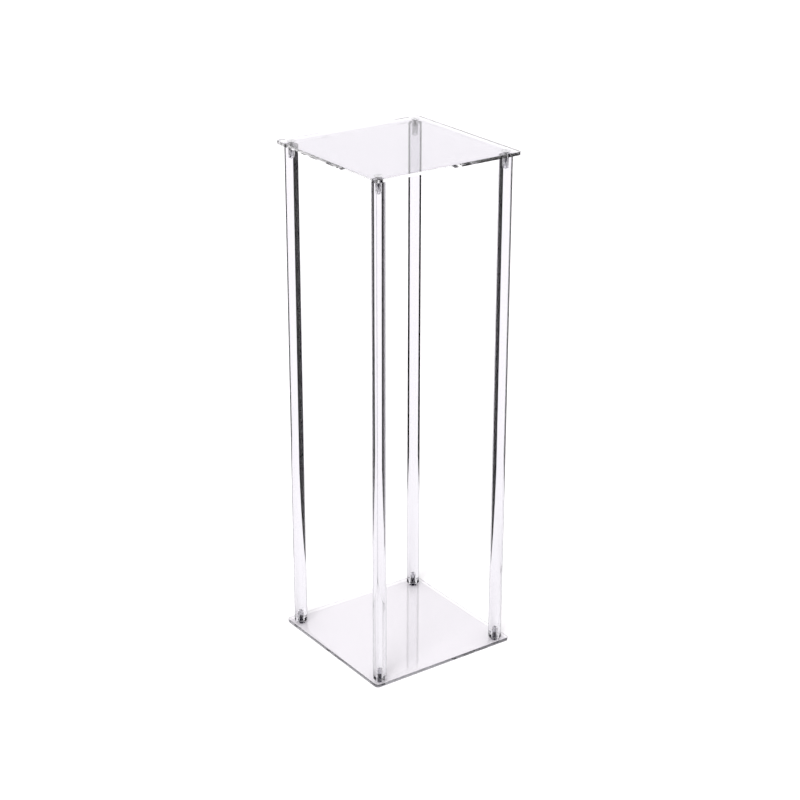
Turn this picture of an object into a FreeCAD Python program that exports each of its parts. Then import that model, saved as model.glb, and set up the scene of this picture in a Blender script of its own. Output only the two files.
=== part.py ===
import FreeCAD, Part
import math
import os

# Column stand in clear acrylic: a square top plate and a square base plate, held apart by
# four solid round rods. Each rod is tapped at both ends, and a countersunk screw through
# each plate pulls the plate against the rod's end.
# Millimetres, +Z up. The origin is on the floor, under the centre of the base plate.
# Front is -Y, right is +X.

# Overall sizes
STAND_HEIGHT = 625.0
PLATE_WIDTH = 200.0
PLATE_DEPTH = 200.0

# Plates, cut from sheet with polished edges
PLATE_THICKNESS = 4.0
PLATE_CORNER_RADIUS = 5.0
PLATE_EDGE_BREAK = 0.3

# Rods
ROD_DIAMETER = 16.0
ROD_TO_PLATE_SIDE = 5.0  # from the rod's skin to the plate's side
ROD_END_BREAK = 0.6

# Blind tapped hole in each rod end
HOLE_DEPTH = 15.0  # to the drill's shoulder
HOLE_THREADED_DEPTH = 12.5
HOLE_MOUTH_BREAK = 0.4
DRILL_POINT_ANGLE = 118.0

# M5 x 12 countersunk screws with a cross recess
THREAD_DIAMETER = 5.0
THREAD_PITCH = 0.8
SCREW_LENGTH = 12.0
SCREW_TIP_BREAK = 0.6
HEAD_DIAMETER = 9.3
HEAD_LAND = 0.3  # the short upright band at the head's rim
HEAD_CROWN_BREAK = 0.15
RECESS_SPAN = 4.9
RECESS_FLOOR_SPAN = 2.3
RECESS_WING = 1.15
RECESS_FLOOR_WING = 0.7
RECESS_DEPTH = 1.9
RECESS_CORE_DIAMETER = 2.5
SCREW_TURN_STEP = 37.0  # each screw comes tight at another angle

# Clearances
HEAD_SINK = 0.1  # the heads stop this far below the plate's face
THREAD_CLEARANCE = 0.06  # radial, between the screw's thread and the rod's
PLATE_HOLE_CLEARANCE = 0.2  # radial, around the thread in the plate

# Sizes that follow
ROD_LENGTH = STAND_HEIGHT - 2 * PLATE_THICKNESS
ROD_RADIUS = ROD_DIAMETER / 2
ROD_X = PLATE_WIDTH / 2 - ROD_TO_PLATE_SIDE - ROD_RADIUS
ROD_Y = PLATE_DEPTH / 2 - ROD_TO_PLATE_SIDE - ROD_RADIUS
THREAD_GROOVE = 0.6134 * THREAD_PITCH  # depth of a metric external thread
CREST_RADIUS = THREAD_DIAMETER / 2
ROOT_RADIUS = CREST_RADIUS - THREAD_GROOVE
HEAD_RADIUS = HEAD_DIAMETER / 2
HEAD_TOP = PLATE_THICKNESS - HEAD_SINK
HEAD_CONE_TOP = HEAD_TOP - HEAD_LAND
SCREW_TIP = HEAD_TOP - SCREW_LENGTH

CORNERS = {
    "front_left": (-ROD_X, -ROD_Y),
    "front_right": (ROD_X, -ROD_Y),
    "back_right": (ROD_X, ROD_Y),
    "back_left": (-ROD_X, ROD_Y),
}

UP = FreeCAD.Vector(0, 0, 1)
ORIGIN = FreeCAD.Vector(0, 0, 0)
FULL_TURN = 360


def turned(profile):
    """A solid turned about the Z axis from an outline of (radius, height) points."""
    points = [FreeCAD.Vector(radius, 0, height) for radius, height in profile]
    outline = Part.makePolygon(points + [points[0]])
    return Part.Face(outline).revolve(ORIGIN, UP, FULL_TURN)


def thread_outline(bottom, top, clearance=0.0):
    """Points of a thread's zigzag from bottom to top, a crest at each whole pitch from height 0.

    The thread is drawn as rings. The screw's and the rod's rings share their heights, so
    they lie in each other's grooves with the clearance between them.
    """
    half_pitch = THREAD_PITCH / 2
    first = math.floor(bottom / half_pitch) + 1
    last = math.ceil(top / half_pitch) - 1
    heights = [bottom] + [step * half_pitch for step in range(first, last + 1)] + [top]
    points = []
    for height in heights:
        from_crest = abs(height / THREAD_PITCH - round(height / THREAD_PITCH)) * 2
        radius = CREST_RADIUS - THREAD_GROOVE * from_crest + clearance
        points.append((radius, height))
    return points


def rounded_plate():
    """Square plate on the XY plane with rounded corners and broken edges."""
    plate = Part.makeBox(PLATE_WIDTH, PLATE_DEPTH, PLATE_THICKNESS)
    plate.translate(FreeCAD.Vector(-PLATE_WIDTH / 2, -PLATE_DEPTH / 2, 0))
    uprights = [edge for edge in plate.Edges if abs(edge.tangentAt(0).z) > 0.5]
    plate = plate.makeFillet(PLATE_CORNER_RADIUS, uprights)
    rims = [edge for edge in plate.Edges if edge.BoundBox.ZLength < PLATE_EDGE_BREAK]
    return plate.makeChamfer(PLATE_EDGE_BREAK, rims)


def screw_hole():
    """Countersunk clearance hole for a plate on the XY plane, running past both its faces.

    The countersink lies on the head's 90 degree cone, so the head seats on it all round.
    """
    over = HEAD_LAND
    shank = CREST_RADIUS + PLATE_HOLE_CLEARANCE
    shoulder = HEAD_CONE_TOP - (HEAD_RADIUS - shank)
    mouth_top = PLATE_THICKNESS + over
    mouth = HEAD_RADIUS + mouth_top - HEAD_CONE_TOP
    return turned([(0, -over), (shank, -over), (shank, shoulder), (mouth, mouth_top), (0, mouth_top)])


def plate_with_holes():
    """A plate with the rods' side down and its screw heads' side up."""
    plate = rounded_plate()
    for x, y in CORNERS.values():
        hole = screw_hole()
        hole.translate(FreeCAD.Vector(x, y, 0))
        plate = plate.cut(hole)
    return plate


def tapped_hole():
    """Blind tapped hole, its mouth at height 0 and its floor below."""
    over = HOLE_MOUTH_BREAK
    drilled = ROOT_RADIUS + THREAD_CLEARANCE
    point = drilled / math.tan(math.radians(DRILL_POINT_ANGLE / 2))
    floor = [
        (0, -HOLE_DEPTH - point),
        (drilled, -HOLE_DEPTH),
        (drilled, -HOLE_THREADED_DEPTH - THREAD_GROOVE),
    ]
    thread = thread_outline(-HOLE_THREADED_DEPTH, -HOLE_MOUTH_BREAK, THREAD_CLEARANCE)
    mouth = CREST_RADIUS + THREAD_CLEARANCE + HOLE_MOUTH_BREAK
    return turned(floor + thread + [(mouth, 0), (mouth, over), (0, over)])


def rod():
    """Solid rod standing on the XY plane, with a tapped hole in each end."""
    body = Part.makeCylinder(ROD_RADIUS, ROD_LENGTH)
    rims = [edge for edge in body.Edges if isinstance(edge.Curve, Part.Circle)]
    body = body.makeChamfer(ROD_END_BREAK, rims)
    upper = tapped_hole()
    upper.translate(UP * ROD_LENGTH)
    lower = tapped_hole()
    lower.rotate(ORIGIN, FreeCAD.Vector(1, 0, 0), 180)
    return body.cut(upper).cut(lower)


def recess_wing(turn):
    """One of the two crossed wings of the drive recess, narrower towards its floor."""
    sections = []
    for span, wing, height in (
        (RECESS_SPAN, RECESS_WING, HEAD_TOP),
        (RECESS_FLOOR_SPAN, RECESS_FLOOR_WING, HEAD_TOP - RECESS_DEPTH),
    ):
        section = Part.makePlane(span, wing, FreeCAD.Vector(-span / 2, -wing / 2, height))
        sections.append(section.OuterWire)
    solid = Part.makeLoft(sections, True, True)
    solid.rotate(ORIGIN, UP, turn)
    return solid


def cross_recess():
    """Cross recess in the head, with a conical core where the wings meet."""
    core_radius = RECESS_CORE_DIAMETER / 2
    recess_floor = HEAD_TOP - RECESS_DEPTH
    core_floor = recess_floor - core_radius / 2
    core = turned([(0, core_floor), (core_radius / 2, recess_floor), (core_radius, HEAD_TOP), (0, HEAD_TOP)])
    return core.fuse([recess_wing(0), recess_wing(90)])


def screw():
    """Countersunk screw, head up, with height 0 where the rod's end meets the plate."""
    under_head = HEAD_CONE_TOP - (HEAD_RADIUS - CREST_RADIUS)
    thread = thread_outline(SCREW_TIP + SCREW_TIP_BREAK, under_head - THREAD_PITCH / 2)
    profile = [(0, SCREW_TIP), (ROOT_RADIUS - SCREW_TIP_BREAK, SCREW_TIP)] + thread
    profile += [
        (CREST_RADIUS, under_head),
        (HEAD_RADIUS, HEAD_CONE_TOP),
        (HEAD_RADIUS, HEAD_TOP - HEAD_CROWN_BREAK),
        (HEAD_RADIUS - HEAD_CROWN_BREAK, HEAD_TOP),
        (0, HEAD_TOP),
    ]
    return turned(profile).cut(cross_recess())


def placed(shape, x, y, z, upside_down=False, turn=0.0):
    """A copy of the shape, turned about its own axis, flipped if asked, and moved into place."""
    copy = shape.copy()
    copy.rotate(ORIGIN, UP, turn)
    if upside_down:
        copy.rotate(ORIGIN, FreeCAD.Vector(1, 0, 0), 180)
    copy.translate(FreeCAD.Vector(x, y, z))
    return copy


def make_nodes():
    """Every piece of the stand in its place, by name."""
    plate = plate_with_holes()
    one_rod = rod()
    one_screw = screw()
    rod_top = STAND_HEIGHT - PLATE_THICKNESS
    nodes = {
        "top_plate": placed(plate, 0, 0, rod_top),
        "base_plate": placed(plate, 0, 0, PLATE_THICKNESS, upside_down=True),
    }
    for index, (corner, (x, y)) in enumerate(CORNERS.items()):
        turn = SCREW_TURN_STEP * (index + 1)
        nodes["rod_" + corner] = placed(one_rod, x, y, PLATE_THICKNESS)
        nodes["top_screw_" + corner] = placed(one_screw, x, y, rod_top, turn=turn)
        nodes["base_screw_" + corner] = placed(one_screw, x, y, PLATE_THICKNESS, upside_down=True, turn=turn)
    return nodes


os.makedirs("parts", exist_ok=True)
for name, shape in make_nodes().items():
    if not shape.isValid() or len(shape.Solids) != 1:
        raise RuntimeError(name + " is not one valid solid")
    shape.Solids[0].exportStep(os.path.join("parts", name + ".step"))
    print(name, round(shape.Volume, 1), "cubic mm")
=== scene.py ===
import math

import bmesh
import bpy
from bpy.props import FloatProperty, FloatVectorProperty, IntProperty, PointerProperty, StringProperty
from mathutils import Matrix, Vector


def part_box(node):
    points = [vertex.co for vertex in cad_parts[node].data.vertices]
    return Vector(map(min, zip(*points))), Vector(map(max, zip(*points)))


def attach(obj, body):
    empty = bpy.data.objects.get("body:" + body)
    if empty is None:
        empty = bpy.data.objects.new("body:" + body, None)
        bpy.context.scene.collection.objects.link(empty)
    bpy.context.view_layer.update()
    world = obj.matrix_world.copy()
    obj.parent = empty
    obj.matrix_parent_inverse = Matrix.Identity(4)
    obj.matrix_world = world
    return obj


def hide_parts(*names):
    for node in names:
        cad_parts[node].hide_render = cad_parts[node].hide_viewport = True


bl_info = {
    "name": "Clear Column Stand",
    "version": (1, 0, 0),
    "blender": (4, 5, 0),
    "location": "View3D > Sidebar > Column Stand",
    "description": "Dresses the column stand in clear acrylic and steel and sets it in a white studio",
    "category": "Object",
}

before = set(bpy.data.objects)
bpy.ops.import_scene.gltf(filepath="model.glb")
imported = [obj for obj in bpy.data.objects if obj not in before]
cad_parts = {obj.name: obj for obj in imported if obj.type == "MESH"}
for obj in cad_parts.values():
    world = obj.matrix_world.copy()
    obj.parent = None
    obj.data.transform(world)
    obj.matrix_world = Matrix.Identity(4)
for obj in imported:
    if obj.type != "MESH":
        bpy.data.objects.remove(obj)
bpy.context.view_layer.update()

MM = 0.001
BODY = "root"
CORNERS = ("front_left", "front_right", "back_right", "back_left")
PLATES = {"top_plate": "top", "base_plate": "base"}
ACRYLIC_IOR = 1.49
WHITE = (1.0, 1.0, 1.0, 1.0)
FULL_TURN = math.tau
DRILL_POINT_HALF_ANGLE = math.radians(59)
MERGE_DISTANCE = 0.001 * MM
LEVEL_NORMAL = 0.99  # a face counts as level when its normal's height is above this
CORNER_SEGMENTS = 16

# Widths of the surfaces' patterns
DRAW_LINE_WIDTH = 0.9 * MM
DRAW_LINE_LENGTH = 60 * MM
TOOL_MARK = 0.4 * MM
SHEET_HAZE = 35 * MM
SAW_MARK = 3 * MM
STEEL_GRAIN = 0.5 * MM
FLOOR_MOTTLE = 80 * MM

# Depths from a screw head's face: below the first the thread's painted shade is full, above the second the
# head shows the bright steel
THREAD_SHADE_FULL_DEPTH = 1.2 * MM
THREAD_SHADE_GONE_DEPTH = 0.5 * MM

# Side cards: where they stand across and behind the stand's middle, seen from the camera
LEFT_CARD_FAR, LEFT_CARD_CUT, LEFT_CARD_NEAR = (-0.210, 0.470), (-0.2563, 0.100), (-0.290, -0.170)
RIGHT_CARD_FAR, RIGHT_CARD_CUT, RIGHT_CARD_NEAR = (0.262, 0.470), (0.2726, 0.100), (0.285, -0.330)
CARD_CUT_HEIGHT = 0.62  # the cards are cut short below this height
CARD_TOP = 0.95
CARD_PAINTED_LIGHT_STARTS, CARD_PAINTED_LIGHT_FULL = 0.2, 0.32  # heights between which a side card gets its faint painted light, a glow standing in for light falling on its upper part
CARD_DARK, CARD_PAINTED_LIGHT = 0.0006, 0.01
FRONT_CARD_ENDS = (-1.5, -1.2), (1.5, -1.2)
FRONT_CARD_BOTTOM, FRONT_CARD_TOP = 0.32, 1.3

FLOOR_REACH = 12.0
LIGHT_DISTANCE = 2.0
BLACK_LEVEL = 0.05


# ---------------------------------------------------------------- sizes from the frame


def middle(node):
    """Centre of a CAD node's box."""
    low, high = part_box(node)
    return (low + high) / 2


def span(node):
    """Size of a CAD node's box along each axis."""
    low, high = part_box(node)
    return high - low


HEAD_RADIUS = span("top_screw_front_left").x / 2
ROD_RADIUS = span("rod_front_left").x / 2
STAND_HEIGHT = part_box("top_plate")[1].z
SHEET = span("top_plate").z


# ---------------------------------------------------------------- settings


class StandPlateSettings(bpy.types.PropertyGroup):
    corner_radius: FloatProperty(
        name="Corner radius", description="Rounding of the sheet's four corners",
        default=5 * MM, subtype="DISTANCE", unit="LENGTH",
    )
    edge_break: FloatProperty(
        name="Edge break", description="Tiny bevel left by polishing along the sheet's rims",
        default=0.3 * MM, precision=5, subtype="DISTANCE", unit="LENGTH",
    )
    mouth_radius: FloatProperty(
        name="Countersink radius", description="Radius of the countersink at the sheet's face",
        default=HEAD_RADIUS + 0.4 * MM, precision=5, subtype="DISTANCE", unit="LENGTH",
    )
    shank_radius: FloatProperty(
        name="Shank hole radius", description="Radius of the clearance hole below the countersink",
        default=2.7 * MM, precision=5, subtype="DISTANCE", unit="LENGTH",
    )
    seen_edge: FloatProperty(
        name="Seen edge", description="Share of an edge that shows when it is seen through the sheet's face",
        default=0.35, subtype="FACTOR",
    )
    hole_segments: IntProperty(name="Hole segments", description="Sides round each screw hole", default=64)


class StandRodSettings(bpy.types.PropertyGroup):
    air_film: FloatProperty(
        name="Air film", description="Gap between a rod's end and the plate, which keeps the end bright",
        default=0.05 * MM, precision=5, subtype="DISTANCE", unit="LENGTH",
    )
    end_break: FloatProperty(
        name="End bevel", description="Bevel round each end of the rod",
        default=0.6 * MM, precision=5, subtype="DISTANCE", unit="LENGTH",
    )
    hole_depth: FloatProperty(
        name="Hole depth", description="Depth of the drilled hole to the drill's shoulder",
        default=15 * MM, subtype="DISTANCE", unit="LENGTH",
    )
    threaded_depth: FloatProperty(
        name="Threaded depth", description="Depth of full thread in the drilled hole",
        default=12.5 * MM, subtype="DISTANCE", unit="LENGTH",
    )
    thread_radius: FloatProperty(
        name="Thread radius", description="Radius at the bottom of the tapped thread's grooves",
        default=2.56 * MM, precision=5, subtype="DISTANCE", unit="LENGTH",
    )
    thread_groove: FloatProperty(
        name="Thread depth", description="How deep the tapped thread's grooves are cut",
        default=0.49 * MM, precision=5, subtype="DISTANCE", unit="LENGTH",
    )
    thread_pitch: FloatProperty(
        name="Thread pitch", description="Distance from one thread crest to the next",
        default=0.8 * MM, precision=5, subtype="DISTANCE", unit="LENGTH",
    )
    segments: IntProperty(name="Segments", description="Sides round each rod", default=128)


class StandFinishSettings(bpy.types.PropertyGroup):
    acrylic: StringProperty(
        name="Acrylic", description="Tint of the clear acrylic rods, as sRGB hex", default="e2e1e5"
    )
    # Painted shade: the rim colour darkens a rod's rim between these two slants, standing in for dark
    # surroundings bent into it.
    rim: StringProperty(
        name="Rim", description="Tint of a rod's rim, seen at a slant, as sRGB hex", default="6c6c72"
    )
    rim_shade_start: FloatProperty(
        name="Rim start", description="Slant at which a rod's rim begins to darken", default=0.54
    )
    rim_shade_full: FloatProperty(
        name="Rim full", description="Slant at which a rod's rim is darkest", default=0.74
    )
    # Painted light and shade: the base sheet is painted lighter and the top sheet darker, though both are
    # the same acrylic.
    base_sheet: StringProperty(
        name="Base sheet", description="Tint of the base plate's faces, as sRGB hex", default="efeef0"
    )
    top_sheet: StringProperty(
        name="Top sheet", description="Tint of the top plate's faces, as sRGB hex", default="e8e7ea"
    )
    # Painted shade: the base edge is painted dark grey, the top edge near white.
    base_edge: StringProperty(
        name="Base edge", description="Tint of the base plate's edge, as sRGB hex", default="98989c"
    )
    top_edge: StringProperty(
        name="Top edge", description="Tint of the top plate's edge, as sRGB hex", default="fdfdfe"
    )
    steel: StringProperty(
        name="Steel", description="Colour of the screw heads' faces, as sRGB hex", default="dcdcde"
    )
    # Painted shade: the screws' threads and shanks are painted this dark colour.
    thread: StringProperty(
        name="Thread", description="Colour of the screws' threads, as sRGB hex", default="6a6a6e"
    )
    floor: StringProperty(
        name="Floor", description="Colour of the studio floor, as sRGB hex", default="fbfafb"
    )
    sky: StringProperty(
        name="Studio white", description="Colour of the studio's light, as sRGB hex", default="fffeff"
    )


class StandStageSettings(bpy.types.PropertyGroup):
    azimuth: FloatProperty(
        name="Azimuth", description="Direction of the camera, from the stand's front towards its right",
        default=math.radians(-35.42), subtype="ANGLE", unit="ROTATION",
    )
    elevation: FloatProperty(
        name="Elevation", description="Height of the camera's line of sight above level",
        default=math.radians(22.8), subtype="ANGLE", unit="ROTATION",
    )
    roll: FloatProperty(
        name="Roll", description="Turn of the camera about its line of sight",
        default=math.radians(0.11), subtype="ANGLE", unit="ROTATION",
    )
    distance: FloatProperty(
        name="Distance", description="From the camera to the middle of the stand",
        default=2.2857, subtype="DISTANCE", unit="LENGTH",
    )
    aim: FloatVectorProperty(
        name="Aim", description="How far the camera aims beside and above the middle of the stand",
        default=(3.16 * MM, 0.827 * MM), size=2, precision=5, subtype="XYZ", unit="LENGTH",
    )
    lens: FloatProperty(
        name="Lens", description="Focal length for a 36 mm wide sensor, in millimetres", default=86.26
    )
    floor_gap: FloatProperty(
        name="Floor gap", description="Thin air under the base plate, which keeps its lower face bright",
        default=0.3 * MM, precision=5, subtype="DISTANCE", unit="LENGTH",
    )
    world_strength: FloatProperty(
        name="Studio light", description="Brightness of the white studio", default=1.2
    )
    world_share: FloatProperty(
        name="Studio share", description="Share of the studio's light that falls on the floor",
        default=0.86, subtype="FACTOR",
    )
    light_strength: FloatProperty(name="Soft light", description="Strength of the soft light", default=1.5)
    light_spread: FloatProperty(
        name="Soft light's spread", description="Angle that the soft light fills, seen from the stand",
        default=math.radians(30), subtype="ANGLE", unit="ROTATION",
    )
    light_side: FloatProperty(
        name="Soft light's side", description="Turn of the soft light from the camera towards its left",
        default=math.radians(21), subtype="ANGLE", unit="ROTATION",
    )
    light_rise: FloatProperty(
        name="Soft light's height", description="Height of the soft light above level",
        default=math.radians(40), subtype="ANGLE", unit="ROTATION",
    )


def settings():
    """This scene's settings."""
    return bpy.context.scene.column_stand


class StandSettings(bpy.types.PropertyGroup):
    plate: PointerProperty(type=StandPlateSettings)
    rod: PointerProperty(type=StandRodSettings)
    finish: PointerProperty(type=StandFinishSettings)
    stage: PointerProperty(type=StandStageSettings)


# ---------------------------------------------------------------- materials


def srgb(code):
    """Linear colour of an sRGB hex code."""
    channels = [int(code[i : i + 2], 16) / 255 for i in (0, 2, 4)]
    return tuple(c / 12.92 if c <= 0.04045 else ((c + 0.055) / 1.055) ** 2.4 for c in channels) + (1.0,)


def add_node(tree, kind, links=(), **values):
    """Adds a node. A value sets the socket or property of that name; links are (input, output socket)."""
    node = tree.nodes.new(kind)
    for name, value in values.items():
        if hasattr(node, name):
            setattr(node, name, value)
        else:
            node.inputs[name.replace("_", " ")].default_value = value
    for name, output in links:
        tree.links.new(output, node.inputs[name])
    return node


def new_material(name):
    """An empty node material, its tree and its output node."""
    material = bpy.data.materials.new(name)
    material.use_nodes = True
    material.node_tree.nodes.clear()
    return material, material.node_tree, material.node_tree.nodes.new("ShaderNodeOutputMaterial")


def acrylic_rod_material():
    """Cast acrylic rod, machined and buffed: water clear, with faint draw lines along its length.

    Its rim, seen at a slant, is a little darker: painted shade, standing in for the dark surroundings that
    real acrylic bends into its rim.
    """
    material, tree, output = new_material("cast_acrylic_rod")
    place = add_node(tree, "ShaderNodeTexCoord")
    lines = add_node(tree, "ShaderNodeMapping", [("Vector", place.outputs["Object"])])
    lines.inputs["Scale"].default_value = (1 / DRAW_LINE_WIDTH, 1 / DRAW_LINE_WIDTH, 1 / DRAW_LINE_LENGTH)
    draw = add_node(tree, "ShaderNodeTexNoise", [("Vector", lines.outputs["Vector"])], Scale=1.0, Detail=3.0)
    bump = add_node(
        tree, "ShaderNodeBump", [("Height", draw.outputs["Fac"])], Strength=0.008, Distance=0.05 * MM
    )
    rough = add_node(
        tree, "ShaderNodeMapRange", [("Value", draw.outputs["Fac"])], To_Min=0.0, To_Max=0.02
    )
    finish = settings().finish
    # Painted shade: the acrylic's tint turns to the rim colour where the rod is seen at a slant.
    slant = add_node(tree, "ShaderNodeLayerWeight", Blend=0.5)
    tint_and_painted_shading = add_node(tree, "ShaderNodeValToRGB", [("Fac", slant.outputs["Facing"])])
    clear, rim = tint_and_painted_shading.color_ramp.elements
    clear.position, rim.position = finish.rim_shade_start, finish.rim_shade_full
    clear.color, rim.color = srgb(finish.acrylic), srgb(finish.rim)
    glass = add_node(
        tree,
        "ShaderNodeBsdfPrincipled",
        [
            ("Base Color", tint_and_painted_shading.outputs["Color"]),
            ("Roughness", rough.outputs["Result"]),
            ("Normal", bump.outputs["Normal"]),
        ],
        IOR=ACRYLIC_IOR,
    )
    glass.inputs["Transmission Weight"].default_value = 1.0
    tree.links.new(glass.outputs[0], output.inputs["Surface"])
    return material


def tapped_acrylic_material():
    """Acrylic where a drill and a tap have cut it: the same plastic with a satin skin."""
    material, tree, output = new_material("tapped_acrylic")
    place = add_node(tree, "ShaderNodeTexCoord")
    cut = add_node(
        tree, "ShaderNodeTexNoise", [("Vector", place.outputs["Object"])], Scale=1 / TOOL_MARK, Detail=4.0
    )
    rough = add_node(tree, "ShaderNodeMapRange", [("Value", cut.outputs["Fac"])], To_Min=0.12, To_Max=0.4)
    glass = add_node(
        tree, "ShaderNodeBsdfPrincipled", [("Roughness", rough.outputs["Result"])], IOR=ACRYLIC_IOR
    )
    glass.inputs["Transmission Weight"].default_value = 1.0
    glass.inputs["Base Color"].default_value = srgb(settings().finish.acrylic)
    tree.links.new(glass.outputs[0], output.inputs["Surface"])
    return material


def storey_painted_light_and_shade(tree, place, base, top):
    """One acrylic, tinted one way on the base plate and another on the top plate: painted light and shade
    that even out how the two plates are lit.
    """
    height = add_node(tree, "ShaderNodeSeparateXYZ", [("Vector", place.outputs["Object"])])
    storey = add_node(
        tree, "ShaderNodeMapRange", [("Value", height.outputs["Z"])], From_Min=0.0, From_Max=STAND_HEIGHT
    )
    tint_and_painted_shading = add_node(tree, "ShaderNodeValToRGB", [("Fac", storey.outputs["Result"])])
    tint_and_painted_shading.color_ramp.elements[0].color = srgb(base)
    tint_and_painted_shading.color_ramp.elements[1].color = srgb(top)
    return tint_and_painted_shading


def acrylic_face_material():
    """Flat faces of clear acrylic sheet: what is behind shows unbent, under a polished surface's gloss.

    Light that has already come in through an edge, a hole or a rod is bent and mirrored as in solid
    acrylic, which is what draws dark and bright runs along the sheet's edges.
    """
    material, tree, output = new_material("acrylic_sheet_face")
    finish = settings().finish
    geometry = add_node(tree, "ShaderNodeNewGeometry")
    side = add_node(
        tree, "ShaderNodeMapRange", [("Value", geometry.outputs["Backfacing"])],
        To_Min=ACRYLIC_IOR, To_Max=1 / ACRYLIC_IOR,
    )
    fresnel = add_node(tree, "ShaderNodeFresnel", [("IOR", side.outputs["Result"])])
    place = add_node(tree, "ShaderNodeTexCoord")
    # Painted light and shade: the base plate's faces show lighter than the top plate's.
    tint_and_painted_shading = storey_painted_light_and_shade(tree, place, finish.base_sheet, finish.top_sheet)
    haze = add_node(
        tree, "ShaderNodeTexNoise", [("Vector", place.outputs["Object"])], Scale=1 / SHEET_HAZE, Detail=5.0
    )
    rough = add_node(tree, "ShaderNodeMapRange", [("Value", haze.outputs["Fac"])], To_Min=0.0, To_Max=0.06)
    clear = add_node(tree, "ShaderNodeBsdfTransparent")
    tree.links.new(tint_and_painted_shading.outputs["Color"], clear.inputs["Color"])
    gloss = add_node(tree, "ShaderNodeBsdfAnisotropic", [("Roughness", rough.outputs["Result"])])
    gloss.inputs["Color"].default_value = WHITE
    straight = add_node(
        tree,
        "ShaderNodeMixShader",
        [("Fac", fresnel.outputs["Fac"]), (1, clear.outputs[0]), (2, gloss.outputs[0])],
    )
    inside = add_node(tree, "ShaderNodeBsdfGlass", IOR=ACRYLIC_IOR, Roughness=0.0)
    inside.inputs["Color"].default_value = WHITE
    ray = add_node(tree, "ShaderNodeLightPath")
    bent = add_node(
        tree, "ShaderNodeMath", [(0, ray.outputs["Transmission Depth"])], operation="GREATER_THAN"
    )
    mix = add_node(
        tree,
        "ShaderNodeMixShader",
        [("Fac", bent.outputs[0]), (1, straight.outputs[0]), (2, inside.outputs[0])],
    )
    tree.links.new(mix.outputs[0], output.inputs["Surface"])
    return material


def acrylic_edge_material():
    """Diamond-polished sheet edge: it bends the view into the sheet, with fine saw lines left across it.

    Seen from above, through the sheet's face, the edge is a mirror, and only its upper share shows.
    The base plate's edge is painted darker than the top plate's, as painted shade.
    """
    material, tree, output = new_material("acrylic_polished_edge")
    place = add_node(tree, "ShaderNodeTexCoord")
    height = add_node(tree, "ShaderNodeSeparateXYZ", [("Vector", place.outputs["Object"])])
    finish = settings().finish
    # Painted shade: the base plate's edge takes the dark base edge colour.
    edge_tint_and_painted_shade = storey_painted_light_and_shade(tree, place, finish.base_edge, finish.top_edge)
    marks = add_node(
        tree, "ShaderNodeTexNoise", [("Vector", place.outputs["Object"])], Scale=1 / SAW_MARK, Detail=4.0
    )
    bump = add_node(
        tree, "ShaderNodeBump", [("Height", marks.outputs["Fac"])], Strength=0.04, Distance=0.05 * MM
    )
    glass = add_node(
        tree,
        "ShaderNodeBsdfPrincipled",
        [("Normal", bump.outputs["Normal"])],
        IOR=ACRYLIC_IOR,
        Roughness=0.03,
    )
    glass.inputs["Transmission Weight"].default_value = 1.0
    tree.links.new(edge_tint_and_painted_shade.outputs["Color"], glass.inputs["Base Color"])
    mirror = add_node(tree, "ShaderNodeBsdfAnisotropic", Roughness=0.03)
    mirror.inputs["Color"].default_value = WHITE
    ray = add_node(tree, "ShaderNodeLightPath")
    geometry = add_node(tree, "ShaderNodeNewGeometry")
    straight = add_node(
        tree,
        "ShaderNodeMath",
        [(0, geometry.outputs["Backfacing"]), (1, ray.outputs["Transmission Depth"])],
        operation="GREATER_THAN",
    )
    in_sheet = add_node(tree, "ShaderNodeMath", [(0, height.outputs["Z"])], operation="MODULO")
    in_sheet.inputs[1].default_value = STAND_HEIGHT - SHEET
    upper = add_node(tree, "ShaderNodeMath", [(0, in_sheet.outputs[0])], operation="GREATER_THAN")
    upper.inputs[1].default_value = SHEET * (1 - settings().plate.seen_edge)
    clear = add_node(tree, "ShaderNodeBsdfTransparent")
    clear.inputs["Color"].default_value = WHITE
    within = add_node(
        tree,
        "ShaderNodeMixShader",
        [("Fac", upper.outputs[0]), (1, clear.outputs[0]), (2, mirror.outputs[0])],
    )
    mix = add_node(
        tree,
        "ShaderNodeMixShader",
        [("Fac", straight.outputs[0]), (1, glass.outputs[0]), (2, within.outputs[0])],
    )
    tree.links.new(mix.outputs[0], output.inputs["Surface"])
    return material


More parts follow.
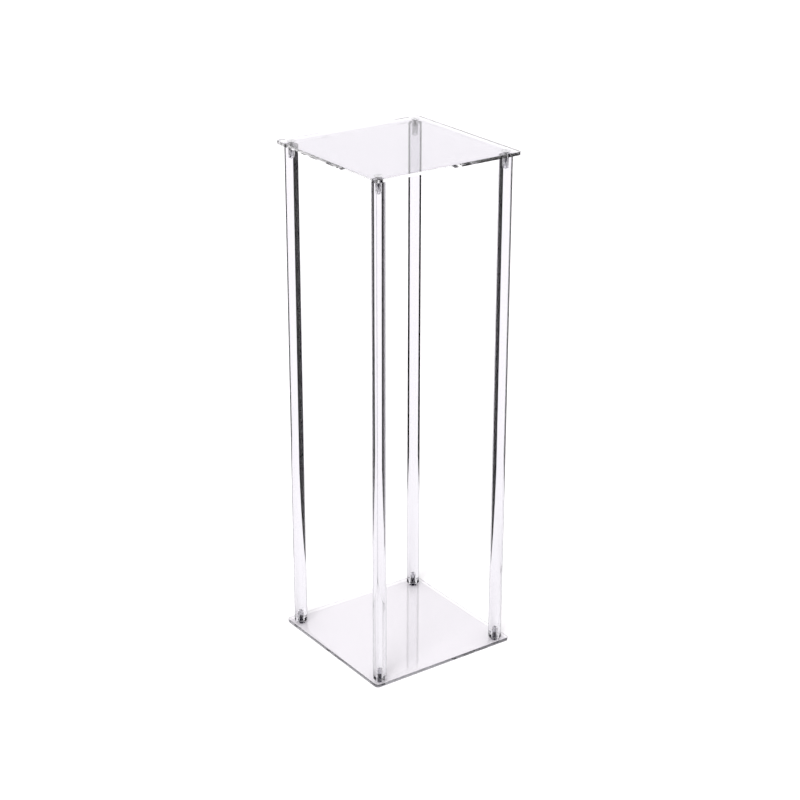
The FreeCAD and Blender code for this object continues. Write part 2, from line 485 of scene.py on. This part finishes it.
def steel_material():
    """Stainless machine screw, cold headed: a bright tumbled face, and a thread painted dark as painted
    shade.
    """
    material, tree, output = new_material("stainless_steel_screw")
    finish = settings().finish
    place = add_node(tree, "ShaderNodeTexCoord")
    height = add_node(tree, "ShaderNodeSeparateXYZ", [("Vector", place.outputs["Object"])])
    from_middle = add_node(
        tree, "ShaderNodeMath", [(0, height.outputs["Z"])], operation="SUBTRACT"
    )
    from_middle.inputs[1].default_value = STAND_HEIGHT / 2
    reach = add_node(tree, "ShaderNodeMath", [(0, from_middle.outputs[0])], operation="ABSOLUTE")
    face = add_node(
        tree, "ShaderNodeMapRange", [("Value", reach.outputs[0])],
        From_Min=STAND_HEIGHT / 2 - THREAD_SHADE_FULL_DEPTH, From_Max=STAND_HEIGHT / 2 - THREAD_SHADE_GONE_DEPTH,
    )
    # Painted shade: beyond the head, the screw is painted the dark thread colour.
    colour = add_node(tree, "ShaderNodeValToRGB", [("Fac", face.outputs["Result"])])
    colour.color_ramp.elements[0].color = srgb(finish.thread)
    colour.color_ramp.elements[1].color = srgb(finish.steel)
    grain = add_node(
        tree, "ShaderNodeTexNoise", [("Vector", place.outputs["Object"])], Scale=1 / STEEL_GRAIN, Detail=4.0
    )
    rough = add_node(tree, "ShaderNodeMapRange", [("Value", grain.outputs["Fac"])], To_Min=0.12, To_Max=0.3)
    bump = add_node(
        tree, "ShaderNodeBump", [("Height", grain.outputs["Fac"])], Strength=0.15, Distance=0.03 * MM
    )
    steel = add_node(
        tree,
        "ShaderNodeBsdfPrincipled",
        [
            ("Base Color", colour.outputs["Color"]),
            ("Roughness", rough.outputs["Result"]),
            ("Normal", bump.outputs["Normal"]),
        ],
        Metallic=1.0,
    )
    tree.links.new(steel.outputs[0], output.inputs["Surface"])
    return material


# ---------------------------------------------------------------- mesh helpers


def finish_piece(name, mesh_maker, materials, nodes, sharp_angle=math.radians(28)):
    """Makes a piece that stands for CAD nodes, smooth but for its sharp edges, riding on the stand."""
    for edge in mesh_maker.edges:
        edge.smooth = len(edge.link_faces) == 2 and edge.calc_face_angle(0.0) < sharp_angle
    for face in mesh_maker.faces:
        face.smooth = True
    mesh = bpy.data.meshes.new(name)
    mesh_maker.to_mesh(mesh)
    mesh_maker.free()
    for material in materials:
        mesh.materials.append(material)
    piece = bpy.data.objects.new(name, mesh)
    bpy.context.scene.collection.objects.link(piece)
    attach(piece, BODY)
    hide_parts(*nodes)
    return piece


def circle(maker, centre, radius, height, segments):
    """A closed ring of edges with no face, lying level."""
    place = Matrix.Translation((centre.x, centre.y, height))
    made = bmesh.ops.create_circle(maker, segments=segments, radius=radius, matrix=place)
    ring = set(made["verts"])
    return [edge for edge in maker.edges if edge.verts[0] in ring and edge.verts[1] in ring]


# ---------------------------------------------------------------- rods


def hole_profile(rod, end):
    """Half outline of one tapped hole, from its floor's centre to its mouth, going towards the rod's end.

    The floor is a drill's shallow cone. Heights are measured up from the end, downwards negative.
    """
    crest = rod.thread_radius - rod.thread_groove
    point = crest / math.tan(DRILL_POINT_HALF_ANGLE)
    outline = [(0.0, -rod.hole_depth - point), (crest, -rod.hole_depth), (crest, -rod.threaded_depth)]
    half = rod.thread_pitch / 2
    steps = int(rod.threaded_depth / half)
    for step in range(steps - 1, 1, -1):
        outline.append((rod.thread_radius if step % 2 == 0 else crest, -step * half))
    outline.append((rod.thread_radius + half, 0.0))
    return [(radius, end + height) for radius, height in outline]


def rod_maker(rod, node):
    """Solid rod with a bevelled rim and a tapped hole at each end, turned from its half outline."""
    low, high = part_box(node)
    centre = middle(node)
    bottom = low.z + rod.air_film
    top = high.z - rod.air_film
    length = top - bottom
    upper = hole_profile(rod, length)
    lower = [(radius, length - height) for radius, height in upper]
    outer = [
        (ROD_RADIUS - rod.end_break, 0.0),
        (ROD_RADIUS, rod.end_break),
        (ROD_RADIUS, length - rod.end_break),
        (ROD_RADIUS - rod.end_break, length),
    ]
    outline = lower + outer + upper[::-1]
    maker = bmesh.new()
    verts = [maker.verts.new((centre.x + radius, centre.y, bottom + height)) for radius, height in outline]
    edges = [maker.edges.new(pair) for pair in zip(verts, verts[1:])]
    bmesh.ops.spin(
        maker, geom=verts + edges, cent=(centre.x, centre.y, 0), axis=(0, 0, 1),
        angle=FULL_TURN, steps=rod.segments, use_merge=True,
    )
    bmesh.ops.remove_doubles(maker, verts=maker.verts, dist=MERGE_DISTANCE)
    bmesh.ops.recalc_face_normals(maker, faces=maker.faces)
    hole_reach = rod.thread_radius + rod.thread_pitch / 2 + 0.01 * MM
    for face in maker.faces:
        reach = max((vert.co.xy - centre.xy).length for vert in face.verts)
        face.material_index = 1 if reach < hole_reach else 0
    return maker


class STAND_OT_make_rods(bpy.types.Operator):
    """Makes the four clear rods with their tapped ends"""

    bl_idname = "column_stand.make_rods"
    bl_label = "Make the rods"

    def execute(self, context):
        materials = [acrylic_rod_material(), tapped_acrylic_material()]
        for corner in CORNERS:
            node = "rod_" + corner
            maker = rod_maker(settings().rod, node)
            finish_piece("clear_" + node, maker, materials, [node])
        return {"FINISHED"}


# ---------------------------------------------------------------- plates


def plate_maker(plate, node, prefix):
    """Sheet with rounded corners, broken rims and a countersunk hole at each corner."""
    low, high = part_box(node)
    centre = middle(node)
    size = high - low
    heads_up = prefix == "top"
    face_height, back_height = (high.z, low.z) if heads_up else (low.z, high.z)
    inward = -1.0 if heads_up else 1.0
    maker = bmesh.new()
    place = Matrix.Translation((centre.x, centre.y, face_height)) @ Matrix.Diagonal((size.x, size.y, 1, 1))
    bmesh.ops.create_grid(maker, x_segments=1, y_segments=1, size=0.5, matrix=place)
    bmesh.ops.bevel(
        maker, geom=maker.verts[:], offset=plate.corner_radius, offset_type="OFFSET",
        segments=CORNER_SEGMENTS, profile=0.5, affect="VERTICES", material=-1,
    )
    bmesh.ops.delete(maker, geom=maker.faces[:], context="FACES_ONLY")
    rim = maker.edges[:]
    walls = [(rim, [(0.0, size.z)])]
    drop = plate.mouth_radius - plate.shank_radius
    for corner in CORNERS:
        spot = middle(prefix + "_screw_" + corner)
        mouth = circle(maker, spot, plate.mouth_radius, face_height, plate.hole_segments)
        walls.append((mouth, [(drop, drop), (0.0, size.z - drop)]))
    bmesh.ops.triangle_fill(maker, edges=[edge for loop, steps in walls for edge in loop], use_beauty=True)
    ends = []
    hole_faces = []
    for loop, steps in walls:
        for shrink, depth in steps:
            made = bmesh.ops.extrude_edge_only(maker, edges=loop)
            verts = [item for item in made["geom"] if isinstance(item, bmesh.types.BMVert)]
            faces = [item for item in made["geom"] if isinstance(item, bmesh.types.BMFace)]
            loop = [item for item in made["geom"] if isinstance(item, bmesh.types.BMEdge)]
            loop = [edge for edge in loop if edge.verts[0] in verts and edge.verts[1] in verts]
            if shrink:
                middle_of_ring = sum((vert.co for vert in verts), Vector()) / len(verts)
                share = (plate.mouth_radius - shrink) / plate.mouth_radius
                bmesh.ops.scale(
                    maker, vec=(share, share, 1), verts=verts, space=Matrix.Translation(-middle_of_ring)
                )
            bmesh.ops.translate(maker, vec=(0, 0, inward * depth), verts=verts)
            if len(steps) > 1:
                hole_faces += faces
        ends += loop
    bmesh.ops.triangle_fill(maker, edges=ends, use_beauty=True)
    bmesh.ops.recalc_face_normals(maker, faces=maker.faces)
    for face in maker.faces:
        face.material_index = 0 if abs(face.normal.z) > LEVEL_NORMAL else 1
    for face in hole_faces:
        face.material_index = 2
    rims = [
        edge for edge in maker.edges
        if {face.material_index for face in edge.link_faces} == {0, 1}
    ]
    bmesh.ops.bevel(
        maker, geom=rims, offset=plate.edge_break, offset_type="OFFSET",
        segments=2, profile=0.5, affect="EDGES", material=1,
    )
    return maker


class STAND_OT_make_plates(bpy.types.Operator):
    """Makes the top plate and the base plate"""

    bl_idname = "column_stand.make_plates"
    bl_label = "Make the plates"

    def execute(self, context):
        materials = [acrylic_face_material(), acrylic_edge_material(), tapped_acrylic_material()]
        for node, prefix in PLATES.items():
            maker = plate_maker(settings().plate, node, prefix)
            sheet = finish_piece("clear_" + node, maker, materials, [node])
            sheet.visible_diffuse = False
            sheet.visible_shadow = False
        return {"FINISHED"}


# ---------------------------------------------------------------- screws


class STAND_OT_finish_screws(bpy.types.Operator):
    """Gives the eight countersunk screws their stainless steel"""

    bl_idname = "column_stand.finish_screws"
    bl_label = "Finish the screws"

    def execute(self, context):
        steel = steel_material()
        for name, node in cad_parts.items():
            if "_screw_" in name:
                node.data.materials.clear()
                node.data.materials.append(steel)
        return {"FINISHED"}


# ---------------------------------------------------------------- camera and stage


def view_axes(stage):
    """The camera's sideways, upward and backward directions."""
    level = Vector((math.sin(stage.azimuth), -math.cos(stage.azimuth), 0))
    back = level * math.cos(stage.elevation) + Vector((0, 0, math.sin(stage.elevation)))
    side = Vector((math.cos(stage.azimuth), math.sin(stage.azimuth), 0))
    up = back.cross(side)
    turn = Matrix.Rotation(stage.roll, 3, back)
    return turn @ side, turn @ up, back


class STAND_OT_make_camera(bpy.types.Operator):
    """Sets the camera on the stand"""

    bl_idname = "column_stand.make_camera"
    bl_label = "Make the camera"

    def execute(self, context):
        stage = settings().stage
        side, up, back = view_axes(stage)
        target = Vector((0, 0, STAND_HEIGHT / 2)) + side * stage.aim[0] + up * stage.aim[1]
        lens = bpy.data.cameras.new("studio_camera")
        lens.lens = stage.lens
        lens.sensor_width = 36
        lens.clip_start = 0.01
        camera = bpy.data.objects.new("studio_camera", lens)
        turn = Matrix((side, up, back)).transposed().to_4x4()
        camera.matrix_world = Matrix.Translation(target + back * stage.distance) @ turn
        context.scene.collection.objects.link(camera)
        context.scene.camera = camera
        return {"FINISHED"}


def flat_panel(name, corners, material):
    """A single flat panel of the stage through four corners."""
    maker = bmesh.new()
    verts = [maker.verts.new(corner) for corner in corners]
    maker.faces.new(verts)
    mesh = bpy.data.meshes.new(name)
    maker.to_mesh(mesh)
    maker.free()
    mesh.materials.append(material)
    panel = bpy.data.objects.new(name, mesh)
    bpy.context.scene.collection.objects.link(panel)
    return panel


def side_card_material():
    """Black studio card with faint painted light on all but its lowest part: a glow standing in for light
    falling on it from above.
    """
    material, tree, output = new_material("side_card")
    place = add_node(tree, "ShaderNodeTexCoord")
    height = add_node(tree, "ShaderNodeSeparateXYZ", [("Vector", place.outputs["Object"])])
    # Painted light: the card glows more above a set height, as if lit from above.
    card_painted_light = add_node(
        tree, "ShaderNodeMapRange", [("Value", height.outputs["Z"])],
        From_Min=CARD_PAINTED_LIGHT_STARTS, From_Max=CARD_PAINTED_LIGHT_FULL, To_Min=CARD_DARK, To_Max=CARD_PAINTED_LIGHT,
    )
    light = add_node(tree, "ShaderNodeEmission", [("Strength", card_painted_light.outputs["Result"])])
    tree.links.new(light.outputs[0], output.inputs["Surface"])
    return material


def front_card_material():
    """Black studio card."""
    material, tree, output = new_material("front_card")
    light = add_node(tree, "ShaderNodeEmission", Strength=CARD_DARK)
    tree.links.new(light.outputs[0], output.inputs["Surface"])
    return material


def studio_cards(stage):
    """Black cards beside and in front of the stand, which draw the dark lines in acrylic and steel.

    The camera sees none of them. Below the top plate the side cards stand only behind the stand's
    middle, so that the rods stay clear from the sides. Above that height, and in front, the cards
    show only by way of the acrylic.
    """
    side = Vector((math.cos(stage.azimuth), math.sin(stage.azimuth), 0))
    away = Vector((-math.sin(stage.azimuth), math.cos(stage.azimuth), 0))
    sides = side_card_material()
    cards = {
        "left_card": (sides, LEFT_CARD_FAR, LEFT_CARD_CUT, 0.0, CARD_CUT_HEIGHT),
        "right_card": (sides, RIGHT_CARD_FAR, RIGHT_CARD_CUT, 0.0, CARD_CUT_HEIGHT),
        "high_left_card": (sides, LEFT_CARD_FAR, LEFT_CARD_NEAR, CARD_CUT_HEIGHT, CARD_TOP),
        "high_right_card": (sides, RIGHT_CARD_FAR, RIGHT_CARD_NEAR, CARD_CUT_HEIGHT, CARD_TOP),
        "front_card": (front_card_material(), *FRONT_CARD_ENDS, FRONT_CARD_BOTTOM, FRONT_CARD_TOP),
    }
    for name, (material, first, second, low, high) in cards.items():
        ends = [side * across + away * depth for across, depth in (first, second)]
        foot, head = Vector((0, 0, low)), Vector((0, 0, high))
        corners = (ends[0] + foot, ends[1] + foot, ends[1] + head, ends[0] + head)
        card = flat_panel(name, corners, material)
        card.visible_camera = False
        card.visible_shadow = False
        card.visible_diffuse = False
        card.visible_glossy = name in ("left_card", "right_card")


def soft_light(stage):
    """Wide soft light from the camera's left, which lays a short soft shadow behind each rod's foot."""
    light = bpy.data.lights.new("soft_light", "SUN")
    light.energy = stage.light_strength
    light.angle = stage.light_spread
    heading = stage.azimuth - stage.light_side
    level = Vector((math.sin(heading), -math.cos(heading), 0))
    towards = level * math.cos(stage.light_rise) + Vector((0, 0, math.sin(stage.light_rise)))
    lamp = bpy.data.objects.new("soft_light", light)
    lamp.location = towards * LIGHT_DISTANCE
    lamp.rotation_euler = towards.to_track_quat("Z", "Y").to_euler()
    lamp.visible_glossy = False
    lamp.visible_transmission = False
    bpy.context.scene.collection.objects.link(lamp)


def floor_material():
    """White studio floor paint, with a barely seen mottle."""
    material, tree, output = new_material("white_floor")
    place = add_node(tree, "ShaderNodeTexCoord")
    mottle = add_node(
        tree, "ShaderNodeTexNoise", [("Vector", place.outputs["Object"])], Scale=1 / FLOOR_MOTTLE, Detail=4.0
    )
    rough = add_node(tree, "ShaderNodeMapRange", [("Value", mottle.outputs["Fac"])], To_Min=0.8, To_Max=0.95)
    paint = add_node(tree, "ShaderNodeBsdfPrincipled", [("Roughness", rough.outputs["Result"])])
    paint.inputs["Specular IOR Level"].default_value = 0.0
    paint.inputs["Base Color"].default_value = srgb(settings().finish.floor)
    tree.links.new(paint.outputs[0], output.inputs["Surface"])
    return material


class STAND_OT_make_stage(bpy.types.Operator):
    """Makes the floor, the black cards and the soft white light"""

    bl_idname = "column_stand.make_stage"
    bl_label = "Make the stage"

    def execute(self, context):
        scene = context.scene
        stage = settings().stage
        corners = ((-1, -1), (1, -1), (1, 1), (-1, 1))
        floor = [(across * FLOOR_REACH, along * FLOOR_REACH, -stage.floor_gap) for across, along in corners]
        flat_panel("studio_floor", floor, floor_material())
        studio_cards(stage)
        soft_light(stage)
        world = bpy.data.worlds.new("white_studio")
        world.use_nodes = True
        tree = world.node_tree
        tree.nodes.clear()
        ray = add_node(tree, "ShaderNodeLightPath")
        strength = add_node(
            tree, "ShaderNodeMapRange", [("Value", ray.outputs["Is Diffuse Ray"])],
            To_Min=stage.world_strength, To_Max=stage.world_strength * stage.world_share,
        )
        sky = add_node(tree, "ShaderNodeBackground", [("Strength", strength.outputs["Result"])])
        sky.inputs["Color"].default_value = srgb(settings().finish.sky)
        output = tree.nodes.new("ShaderNodeOutputWorld")
        tree.links.new(sky.outputs[0], output.inputs["Surface"])
        scene.world = world
        scene.view_settings.view_transform = "Standard"
        scene.view_settings.look = "None"
        scene.view_settings.use_curve_mapping = True
        levels = scene.view_settings.curve_mapping
        levels.black_level = (BLACK_LEVEL,) * 3
        levels.update()
        scene.cycles.max_bounces = 64
        scene.cycles.glossy_bounces = 48
        scene.cycles.transmission_bounces = 24
        scene.cycles.transparent_max_bounces = 24
        return {"FINISHED"}


# ---------------------------------------------------------------- panel and registration


class STAND_PT_panel(bpy.types.Panel):
    bl_label = "Column Stand"
    bl_idname = "STAND_PT_panel"
    bl_space_type = "VIEW_3D"
    bl_region_type = "UI"
    bl_category = "Column Stand"

    def draw(self, context):
        for operator in OPERATORS:
            self.layout.operator(operator.bl_idname)


OPERATORS = (
    STAND_OT_make_camera,
    STAND_OT_make_rods,
    STAND_OT_make_plates,
    STAND_OT_finish_screws,
    STAND_OT_make_stage,
)
CLASSES = (
    StandPlateSettings,
    StandRodSettings,
    StandFinishSettings,
    StandStageSettings,
    StandSettings,
    *OPERATORS,
    STAND_PT_panel,
)


def register():
    for item in CLASSES:
        bpy.utils.register_class(item)
    bpy.types.Scene.column_stand = PointerProperty(type=StandSettings)


def unregister():
    del bpy.types.Scene.column_stand
    for item in reversed(CLASSES):
        bpy.utils.unregister_class(item)


def main():
    register()
    bpy.ops.column_stand.make_camera()
    bpy.ops.column_stand.make_rods()
    bpy.ops.column_stand.make_plates()
    bpy.ops.column_stand.finish_screws()
    bpy.ops.column_stand.make_stage()


if __name__ == "__main__":
    main()
